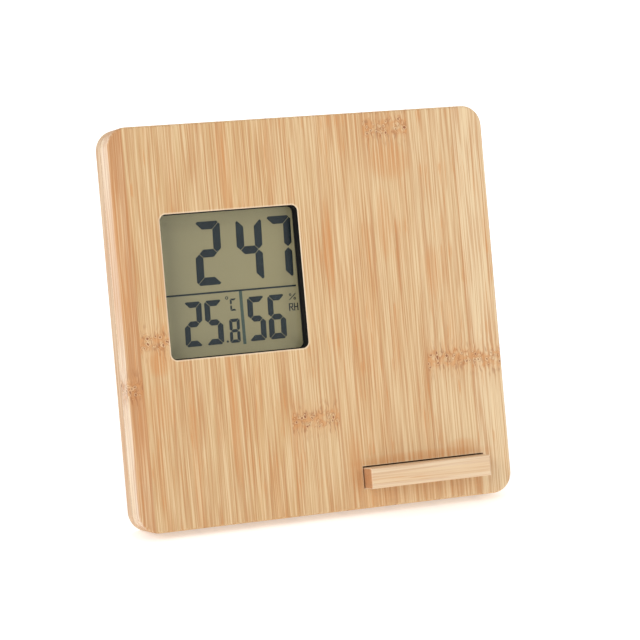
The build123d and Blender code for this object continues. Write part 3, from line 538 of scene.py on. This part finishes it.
def clear_plastic():
    """A thin clear window: a clean reflection over what is behind it."""
    t = Tree("clear_window")
    haze = t.noise(t.grid(t.frame_axes(), (0.15, 0.15, 0.15)), detail=3)
    t.finish(
        t.mix(t.scale(haze, 0.35, 0.65, 0.0, 1.0), colour(228, 230, 229), colour(240, 242, 241)),
        t.scale(haze, 0.3, 0.7, 0.02, 0.06),
        Metallic=1.0,
    )
    through = t.node("BsdfTransparent")
    through.inputs[0].default_value = (0.97, 0.98, 0.965, 1.0)
    facing = t.node("LayerWeight", 0.5).outputs["Facing"]
    mirrored = t.add(0.02, t.times(t.math("POWER", facing, 5.0), 0.9))
    blend = t.node("MixShader", mirrored, through.outputs[0], t.shader.outputs[0])
    t.links.new(blend.outputs[0], t.output.inputs["Surface"])
    return t.material


FILM_HALF = (FILM_HIGH - FILM_LOW) / 2
# From this distance from the middle out to the film's edge, painted light lifts the walls' shade.
FILM_PAINTED_LIGHT_FROM = 22.0


def display_film():
    """The olive-grey face of the display, warmer to the right, with painted light round its edge."""
    t = Tree("display_film")
    x, n, u = t.frame_axes()
    cloud = t.noise(t.grid((x, n, u), (0.04, 0.0, 0.04)), detail=2)
    grit = t.noise(t.grid((x, n, u), (5.0, 0.0, 5.0)), detail=2)
    warm = t.scale(x, *WINDOW_X, 0.0, 1.0)
    tint = t.mix(warm, colour(147, 139, 112), colour(161, 149, 114))
    tint = t.mix(t.scale(cloud, 0.3, 0.7, 0.0, 0.6), tint, colour(154, 143, 111))
    # Painted light round the film's edge, where the window's black walls shade it.
    from_middle = t.math("MAXIMUM", t.away(x, DISPLAY_X), t.away(u, DISPLAY_U))
    rim = t.step(from_middle, FILM_PAINTED_LIGHT_FROM, FILM_HALF)
    tint = t.mix(t.times(rim, 0.75), tint, colour(186, 174, 138))
    tint = t.mix(t.scale(grit, 0.3, 0.7, 0.0, 0.12), tint, colour(124, 116, 90))
    t.bump(grit, 0.05, 0.02)
    return t.finish(tint, t.scale(grit, 0.3, 0.7, 0.4, 0.5), Specular_IOR_Level=0.25)


def circuit_laminate():
    """Green solder mask over copper tracks, with bare pads."""
    t = Tree("circuit_laminate")
    axes = t.frame_axes()
    tracks = t.cells(t.grid(axes, (0.35, 0.0, 0.35)), "DISTANCE_TO_EDGE", 0.55)
    tracks = t.step(tracks, 0.09, 0.05)
    pads = t.step(t.cells(t.grid(axes, (0.3, 0.0, 0.3))), 0.16, 0.13)
    cloud = t.noise(t.grid(axes, (0.3, 0.3, 0.3)), detail=4)
    tint = t.mix(cloud, colour(16, 66, 38), colour(26, 92, 52))
    tint = t.mix(t.times(tracks, 0.45), tint, colour(44, 128, 70))
    tint = t.mix(t.times(pads, 0.9), tint, colour(206, 188, 140))
    t.bump(t.add(tracks, pads), 0.3, 0.05)
    return t.finish(tint, t.scale(cloud, 0.3, 0.7, 0.25, 0.4), Specular_IOR_Level=0.5)


# A cell's printed band and line, from the middle of the cell towards its plus end.
JACKET_BAND = (12.5, 24.2)
JACKET_LINE = (11.2, 11.8)


def battery_jacket(name, plus_side):
    """A printed foil jacket with a lighter band at the cell's plus end and bare steel ends."""
    t = Tree(name)
    x, n, u = t.frame_axes()
    towards_plus = t.times(t.add(x, -DISPLAY_X), plus_side)
    band = t.span(towards_plus, *JACKET_BAND, 0.12)
    line = t.span(towards_plus, *JACKET_LINE, 0.08)
    cloud = t.noise(t.grid((x, n, u), (0.2, 0.4, 0.4)), detail=4)
    tint = t.mix(cloud, colour(22, 60, 84), colour(30, 76, 104))
    tint = t.mix(band, tint, colour(196, 138, 70))
    tint = t.mix(line, tint, colour(214, 216, 214))
    bare = t.step(t.frame_normal()[0], 0.5, 0.9)
    tint = t.mix(bare, tint, colour(186, 188, 190))
    t.bump(cloud, 0.1, 0.05)
    t.put(t.shader.inputs["Metallic"], t.scale(bare, 0.0, 1.0, 0.35, 1.0))
    return t.finish(tint, t.scale(cloud, 0.3, 0.7, 0.24, 0.36))


# The connector's layered core, as depths from the front face, and its layers' turn in
# radians a millimetre, which makes them 0.4 mm apart.
CORE_DEPTHS = (9.1, 10.2)
LAYER_TURN = 15.7


def rubber_strip():
    """The display's connector: thin dark carbon layers between pale rubber ones."""
    t = Tree("layered_rubber")
    x, n, u = t.frame_axes()
    wave = t.math("SINE", t.times(x, LAYER_TURN))
    cloud = t.noise(t.join(x, n, u), detail=3)
    core = t.span(n, *CORE_DEPTHS, 0.05)
    tint = t.mix(t.times(t.step(wave, -0.2, 0.2), core), colour(196, 190, 196), colour(34, 34, 38))
    tint = t.mix(t.times(cloud, 0.2), tint, colour(120, 116, 122))
    t.bump(wave, 0.1, 0.02)
    return t.finish(tint, t.scale(cloud, 0.3, 0.7, 0.5, 0.7))


def paint(material, *nodes):
    """Give CAD nodes one material."""
    for name in nodes:
        mesh = NODES[name].data
        mesh.materials.clear()
        mesh.materials.append(material)


# ---- boards, leg and ledge ----
paint(
    bamboo(
        "bamboo_front", FRONT_STRIPS, FRONT_KNUCKLES, FRONT_PATCHES_AND_SHADE, stained=True,
        # The pale tone on this board's sides is in part a painted highlight.
        side_tone=colour(240, 224, 203), side_share=0.85, joints=0.45,
    ),
    "front_board",
)
paint(
    bamboo(
        "bamboo_rear", REAR_STRIPS, REAR_KNUCKLES, seed=37.0,
        side_tone=colour(198, 168, 140), side_share=0.8,
    ),
    "rear_board",
)
paint(
    bamboo("bamboo_leg", LEG_STRIPS, origin=LEG_ORIGIN, tilt=LEG_TILT, seed=71.0, side_share=0.3),
    "support_leg",
)
paint(
    bamboo(
        "bamboo_ledge", LEDGE_STRIPS, span=LEDGE_SPAN, sideways=True, seed=113.0, side_share=0.2,
        end_tone=colour(188, 130, 84), end_share=0.85, joints=0.05, grain=0.5, edge_highlight=0.9,
    ),
    "phone_ledge",
)

# ---- display ----
paint(
    surface(
        "satin_black", colour(14, 14, 16), colour(24, 24, 26), rough=(0.32, 0.46),
        wear=colour(58, 58, 60), wear_share=0.3, Specular_IOR_Level=0.4,
    ),
    "display_bezel",
)
paint(clear_plastic(), "display_lens")
paint(display_film(), "front_polariser")
paint(
    surface(
        "glass_plate", colour(126, 146, 134), colour(150, 168, 156), rough=(0.05, 0.12),
        Specular_IOR_Level=0.5,
    ),
    "lcd_glass",
)
paint(
    surface(
        "reflector_foil", colour(150, 152, 150), colour(190, 192, 188), per_mm=0.1, metallic=0.8,
        rough=(0.3, 0.42),
    ),
    "rear_reflector",
)
paint(rubber_strip(), "zebra_strip")

# ---- circuit board and what is on it ----
paint(circuit_laminate(), "circuit_board")
paint(
    surface(
        "chip_resin", colour(12, 12, 13), colour(26, 26, 28), rough=(0.2, 0.42),
        Specular_IOR_Level=0.5,
    ),
    "controller_chip",
)
paint(
    surface(
        "crystal_can", colour(176, 178, 180), colour(206, 208, 210), metallic=1.0,
        stretch=(5, 1, 1), texture=7.0, rough=(0.22, 0.36), wear=colour(230, 230, 232),
    ),
    "clock_crystal",
)
paint(
    surface("sensor_case", colour(208, 208, 202), colour(228, 228, 224), rough=(0.4, 0.52)),
    "humidity_sensor",
)
paint(
    surface(
        "chip_parts", colour(96, 74, 52), colour(30, 30, 32), per_mm=0.5, rough=(0.35, 0.5),
        wear=colour(200, 200, 202), wear_width=0.4, wear_share=0.9,
    ),
    "passive_parts",
)
paint(
    surface(
        "switch_case", colour(28, 28, 30), colour(48, 48, 50), rough=(0.35, 0.5),
        wear=colour(190, 190, 192), wear_share=0.5,
    ),
    "tact_switches",
)

# ---- housing, buttons and batteries ----
paint(
    surface(
        "moulded_black", colour(20, 20, 22), colour(33, 33, 36), per_mm=0.12, texture=3.4,
        rough=(0.5, 0.66), wear=colour(92, 92, 94), wear_width=0.35, wear_share=0.35,
        bump=0.35, depth=0.07, Specular_IOR_Level=0.42,
    ),
    "module_housing", "battery_door",
)
paint(
    surface(
        "button_grey", colour(70, 71, 75), colour(88, 89, 94), texture=5.0, rough=(0.38, 0.5),
        wear=colour(120, 121, 124), wear_width=0.4, wear_share=0.45, Specular_IOR_Level=0.45,
    ),
    "set_button", "down_button", "up_button", "unit_button",
)
paint(battery_jacket("lower_cell_jacket", 1.0), "battery_lower")
paint(battery_jacket("upper_cell_jacket", -1.0), "battery_upper")
paint(
    surface(
        "nickel_strip", colour(176, 174, 168), colour(208, 206, 200), metallic=1.0,
        stretch=(1, 6, 1), texture=6.0, rough=(0.2, 0.38), wear=colour(232, 230, 226),
    ),
    "battery_link_contact", "battery_plus_contact", "battery_minus_contact",
)
paint(
    surface("red_sleeve", colour(150, 18, 16), colour(186, 30, 24), rough=(0.35, 0.5)), "red_lead"
)
paint(
    surface("black_sleeve", colour(16, 16, 17), colour(32, 32, 34), rough=(0.35, 0.5)), "black_lead"
)

# ---- screws, hinge and the leg's pad ----
paint(
    surface(
        "zinc_screws", colour(158, 160, 164), colour(196, 198, 202), per_mm=0.8, metallic=1.0,
        texture=5.0, rough=(0.24, 0.42), wear=colour(226, 228, 230), wear_width=0.2,
    ),
    "board_screws", "housing_screws", "fixed_hinge_screws", "leg_hinge_screws",
)
paint(
    surface(
        "brushed_steel", colour(150, 150, 152), colour(192, 192, 194), metallic=1.0,
        stretch=(14, 1, 1), texture=6.0, rough=(0.26, 0.44), wear=colour(226, 226, 228),
        wear_width=0.25, bump=0.2,
    ),
    "fixed_hinge_leaf", "leg_hinge_leaf", "hinge_pin",
)
paint(
    surface(
        "pad_rubber", colour(30, 30, 31), colour(50, 50, 51), per_mm=0.6, texture=4.5,
        rough=(0.7, 0.85), bump=0.4, Specular_IOR_Level=0.3,
    ),
    "leg_pad",
)

# ---- the display's marks: thin dark plates on the face of the display ----
MARK_FRONT = FILM_FRONT - 0.05
MARK_BACK = FILM_FRONT + 0.01
MITRE_GAP = 0.11
CORNER_CUT = 0.42
DIGIT_SLANT = 0.028

# The lit segments of each mark: a is the top bar, and b to f follow it clockwise; g is the waist.
SHAPES = {
    "2": "abged", "4": "fgbc", "7": "abc", "5": "afgcd", "8": "abcdefg", "6": "afgedc", "C": "afed",
}


def segments(width, height, thick, gap):
    """The seven segments of a digit as outlines from its lower left corner."""
    cut = thick * CORNER_CUT
    half = thick / 2
    middle = height / 2
    inner = thick + gap
    side = [
        (0, height - cut),
        (cut / 2, height - cut / 2 - gap),
        (thick, height - inner),
        (thick, middle + half + gap),
        (half, middle + gap * 1.6),
        (0, middle + half + gap * 0.6),
    ]
    top = [
        (cut, height),
        (width - cut, height),
        (width - cut / 2 - gap, height - cut / 2),
        (width - inner, height - thick),
        (inner, height - thick),
        (cut / 2 + gap, height - cut / 2),
    ]
    waist = [
        (half + gap, middle),
        (inner, middle + half),
        (width - inner, middle + half),
        (width - half - gap, middle),
        (width - inner, middle - half),
        (inner, middle - half),
    ]

    def over(points):
        return [(x, height - u) for x, u in points]

    def across(points):
        return [(width - x, u) for x, u in points]

    return {
        "a": top, "d": over(top), "g": waist,
        "f": side, "e": over(side), "b": across(side), "c": across(over(side)),
    }


def digit(mark, left, low, width, height, thick, gap=MITRE_GAP):
    """Outlines of the lit segments of one digit, leaning slightly to the right."""
    shapes = segments(width, height, thick, gap)
    return [
        [(left + x + DIGIT_SLANT * u, low + u) for x, u in shapes[name]] for name in SHAPES[mark]
    ]


def row(text, lefts, style):
    """Digits of one style, each from its own left edge."""
    outlines = []
    for mark, left in zip(text, lefts):
        outlines += digit(mark, left, **style)
    return outlines


def bar(x0, u0, x1, u1):
    """A plain rectangle."""
    return [(x0, u0), (x1, u0), (x1, u1), (x0, u1)]


def stroke(x0, u0, x1, u1, thick):
    """A straight line of a given thickness."""
    along = Vector((x1 - x0, u1 - u0)).normalized() * thick / 2
    side = Vector((-along.y, along.x))
    return [
        (x0 - along.x + side.x, u0 - along.y + side.y),
        (x1 + along.x + side.x, u1 + along.y + side.y),
        (x1 + along.x - side.x, u1 + along.y - side.y),
        (x0 - along.x - side.x, u0 - along.y - side.y),
    ]


def ring(x, u, outer, inner, count=20):
    """A small ring as four-sided pieces side by side."""
    pieces = []
    for index in range(count):
        first = radians(360 * index / count)
        last = radians(360 * (index + 1) / count)
        corners = ((outer, first), (outer, last), (inner, last), (inner, first))
        pieces.append([(x + radius * cos(turn), u + radius * sin(turn)) for radius, turn in corners])
    return pieces


def disc(x, u, radius, count=24):
    """A small round dot."""
    turns = [radians(360 * index / count) for index in range(count)]
    return [(x + radius * cos(turn), u + radius * sin(turn)) for turn in turns]


def percent_sign(x, u):
    """Two small rings on either side of a slanting stroke."""
    rings = ring(x - 0.85, u + 0.75, 0.5, 0.22) + ring(x + 0.85, u - 0.75, 0.5, 0.22)
    return rings + [stroke(x - 1.2, u - 1.05, x + 1.2, u + 1.05, 0.3)]


LETTER_WIDTH = 1.3
LETTER_HEIGHT = 2.5
UPRIGHT = 0.4
CROSSBAR = 0.36
LETTER_GAP = 0.2


def letter_r(left, low):
    """An R of five strokes."""
    right = left + LETTER_WIDTH
    top = low + LETTER_HEIGHT
    waist = low + 1.3
    return [
        stroke(left, low, left, top, UPRIGHT),
        stroke(left + LETTER_GAP, top, right - 0.1, top, CROSSBAR),
        stroke(right, top - LETTER_GAP, right, waist + LETTER_GAP, CROSSBAR),
        stroke(left + LETTER_GAP, waist, right - LETTER_GAP, waist, CROSSBAR),
        stroke(left + 0.7, waist - LETTER_GAP, right + 0.1, low, 0.38),
    ]


def letter_h(left, low):
    """An H of three strokes."""
    right = left + LETTER_WIDTH
    top = low + LETTER_HEIGHT
    waist = (low + top) / 2
    return [
        stroke(left, low, left, top, UPRIGHT),
        stroke(right, low, right, top, UPRIGHT),
        stroke(left + LETTER_GAP, waist, right - LETTER_GAP, waist, CROSSBAR),
    ]


def marks(name, outlines, material):
    """One piece made of thin plates with these outlines."""
    points = []
    faces = []
    for outline in outlines:
        area = sum(
            a[0] * b[1] - b[0] * a[1] for a, b in zip(outline, outline[1:] + outline[:1])
        )
        loop = outline if area > 0 else outline[::-1]
        first = len(points)
        count = len(loop)
        points += [place(x, MARK_FRONT, u) for x, u in loop]
        points += [place(x, MARK_BACK, u) for x, u in loop]
        faces.append([first + index for index in range(count)])
        faces.append([first + count + index for index in reversed(range(count))])
        for index in range(count):
            after = (index + 1) % count
            faces.append(
                [first + index, first + count + index, first + count + after, first + after]
            )
    mesh = bpy.data.meshes.new(name)
    mesh.from_pydata(points, [], faces)
    mesh.materials.append(material)
    piece = bpy.data.objects.new(name, mesh)
    bpy.context.scene.collection.objects.link(piece)
    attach(piece, "panel")


INK = surface(
    "segment_ink", colour(8, 24, 35), colour(15, 33, 44), per_mm=0.3, rough=(0.38, 0.5),
    bump=0.03, Specular_IOR_Level=0.25,
)
PALE_INK = surface(
    "thin_line_ink", colour(62, 78, 74), colour(70, 86, 80), per_mm=0.3, rough=(0.38, 0.5),
    bump=0.03, Specular_IOR_Level=0.25,
)
BIG = {"low": 89.5, "width": 10.2, "height": 23.9, "thick": 3.0}
SMALL = {"low": 67.15, "width": 7.0, "height": 16.7, "thick": 2.2}
TINY = {"low": 67.2, "width": 4.1, "height": 9.0, "thick": 1.2, "gap": 0.08}
UNIT = {"low": 79.2, "width": 2.5, "height": 4.6, "thick": 0.7, "gap": 0.08}
LETTERS_LOW = 77.4
DIVIDER_LOW = 86.3
DIVIDER_HIGH = 86.95

marks("time_digits", row("247", (-43.0, -26.6, -14.9), BIG), INK)
marks(
    "temperature_digits",
    row("25", (-49.5, -41.4), SMALL) + row("8", (-32.0,), TINY) + [disc(-33.0, 67.9, 0.42)],
    INK,
)
marks("humidity_digits", row("56", (-24.5, -16.4), SMALL), INK)
marks(
    "unit_marks",
    ring(-32.0, 84.2, 0.62, 0.3) + row("C", (-30.9,), UNIT) + percent_sign(-5.9, 82.55)
    + letter_r(-7.4, LETTERS_LOW) + letter_h(-5.4, LETTERS_LOW),
    INK,
)
marks("time_divider", [bar(WINDOW_X[0] + 0.1, DIVIDER_LOW, -4.1, DIVIDER_HIGH)], INK)
marks("humidity_divider", [bar(-26.95, 66.4, -25.75, DIVIDER_LOW)], PALE_INK)


# ---- floor, light and camera ----
FLOOR_HALF = 6.0
FLOOR_GLOW = 0.36
WORLD_STRENGTH = 0.72
LIGHT_AIM = Vector((0, 0, 0.07))


def floor_material():
    """An almost white floor that glows faintly, as a lit studio backdrop does."""
    t = Tree("pale_floor")
    cloud = t.noise(t.node("TexCoord").outputs["Object"], scale=3.0, detail=3)
    tint = t.mix(t.scale(cloud, 0.3, 0.7, 0.0, 1.0), (0.9, 0.9, 0.9, 1), (0.92, 0.92, 0.92, 1))
    return t.finish(
        tint, 0.9, Specular_IOR_Level=0.1, Emission_Color=(1, 1, 1, 1), Emission_Strength=FLOOR_GLOW
    )


floor_mesh = bpy.data.meshes.new("floor")
floor_mesh.from_pydata(
    [(x * FLOOR_HALF, y * FLOOR_HALF, 0) for x, y in ((-1, -1), (1, -1), (1, 1), (-1, 1))],
    [],
    [(0, 1, 2, 3)],
)
floor_mesh.materials.append(floor_material())
floor = bpy.data.objects.new("floor", floor_mesh)
bpy.context.scene.collection.objects.link(floor)

scene = bpy.context.scene
scene.view_settings.view_transform = "Standard"
world = bpy.data.worlds.new("studio")
scene.world = world
world.use_nodes = True
backdrop = world.node_tree.nodes["Background"]
backdrop.inputs["Color"].default_value = (1.0, 0.995, 0.985, 1.0)
backdrop.inputs["Strength"].default_value = WORLD_STRENGTH


def aimed(name, data, where, target):
    """Add a light or a camera that looks from one place at another."""
    thing = bpy.data.objects.new(name, data)
    thing.location = where
    direction = Vector(target) - Vector(where)
    thing.rotation_euler = direction.to_track_quat("-Z", "Y").to_euler()
    scene.collection.objects.link(thing)
    return thing


def softbox(name, where, size, power):
    """A square area light aimed at the object."""
    light = bpy.data.lights.new(name, "AREA")
    light.size = size
    light.energy = power
    aimed(name, light, where, LIGHT_AIM)


softbox("key_light", (-1.3, -0.75, 0.95), 0.9, 9.6)
softbox("fill_light", (1.1, -1.2, 0.8), 1.1, 4.0)
softbox("back_light", (0.5, 1.3, 1.1), 1.0, 6.0)

camera_data = bpy.data.cameras.new("camera")
camera_data.lens = CAMERA_LENS
camera_data.sensor_width = 36.0
scene.camera = aimed("camera", camera_data, CAMERA_PLACE, CAMERA_AIM)
